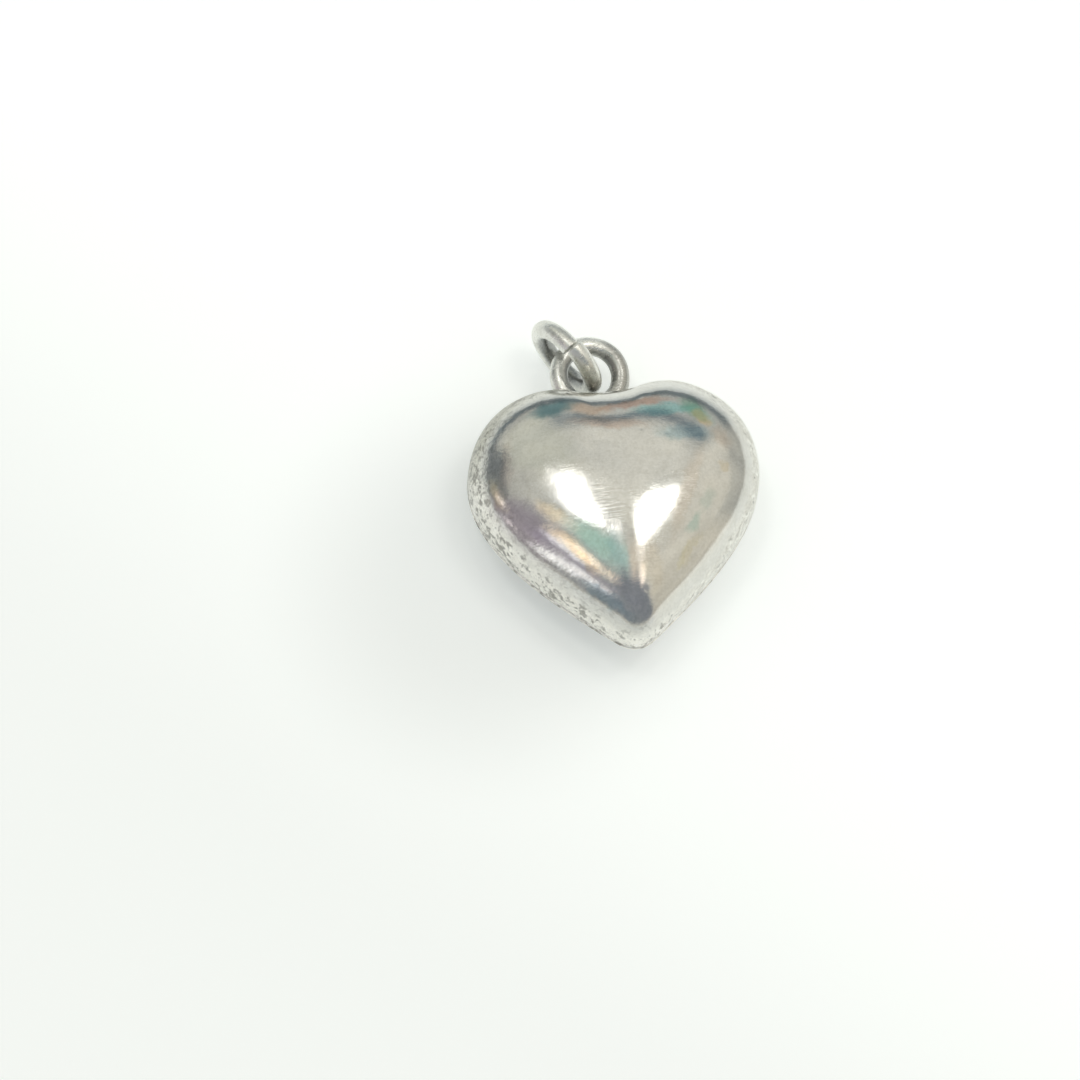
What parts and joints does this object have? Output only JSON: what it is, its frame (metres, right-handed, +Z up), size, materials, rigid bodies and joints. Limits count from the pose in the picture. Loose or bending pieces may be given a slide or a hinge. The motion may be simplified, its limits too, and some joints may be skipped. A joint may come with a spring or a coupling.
{
  "type": "puffed heart pendant",
  "caption": "Hollow puffed heart pendant of a high front shell soldered to a shallow back shell, with a wire eyelet at the notch and a split jump ring through it.",
  "frame": {"origin": "middle of the bounding box, on the surface that the pendant lies on", "axes": "+Z up, through the front dome; +Y from the tip towards the eyelet; +X to the right seen from the front"},
  "size_m": [0.02, 0.0244, 0.0088],
  "materials": {
    "front_silver": "polished sterling silver with rainbow tarnish and a greyed rim",
    "back_silver": "worn polished sterling silver, finely scratched",
    "silver_solder": "dull grey silver solder",
    "silver_wire": "worn round silver wire, tarnished in the creases"
  },
  "bodies": {
    "heart": {"front_shell": "front_silver", "back_shell": "back_silver", "seam_solder": "silver_solder", "eyelet": "silver_wire", "eyelet_solder": "silver_solder"},
    "ring": {"jump_ring": "silver_wire"}
  },
  "joints": [
    {"name": "ring_swing", "type": "hinge", "parent": "heart", "child": "ring", "pos_m": [-0.00217, 0.00975, 0.00285], "axis": [0.6599, 0.7513, 0.0012], "range_deg": [-180, 180]}
  ]
}
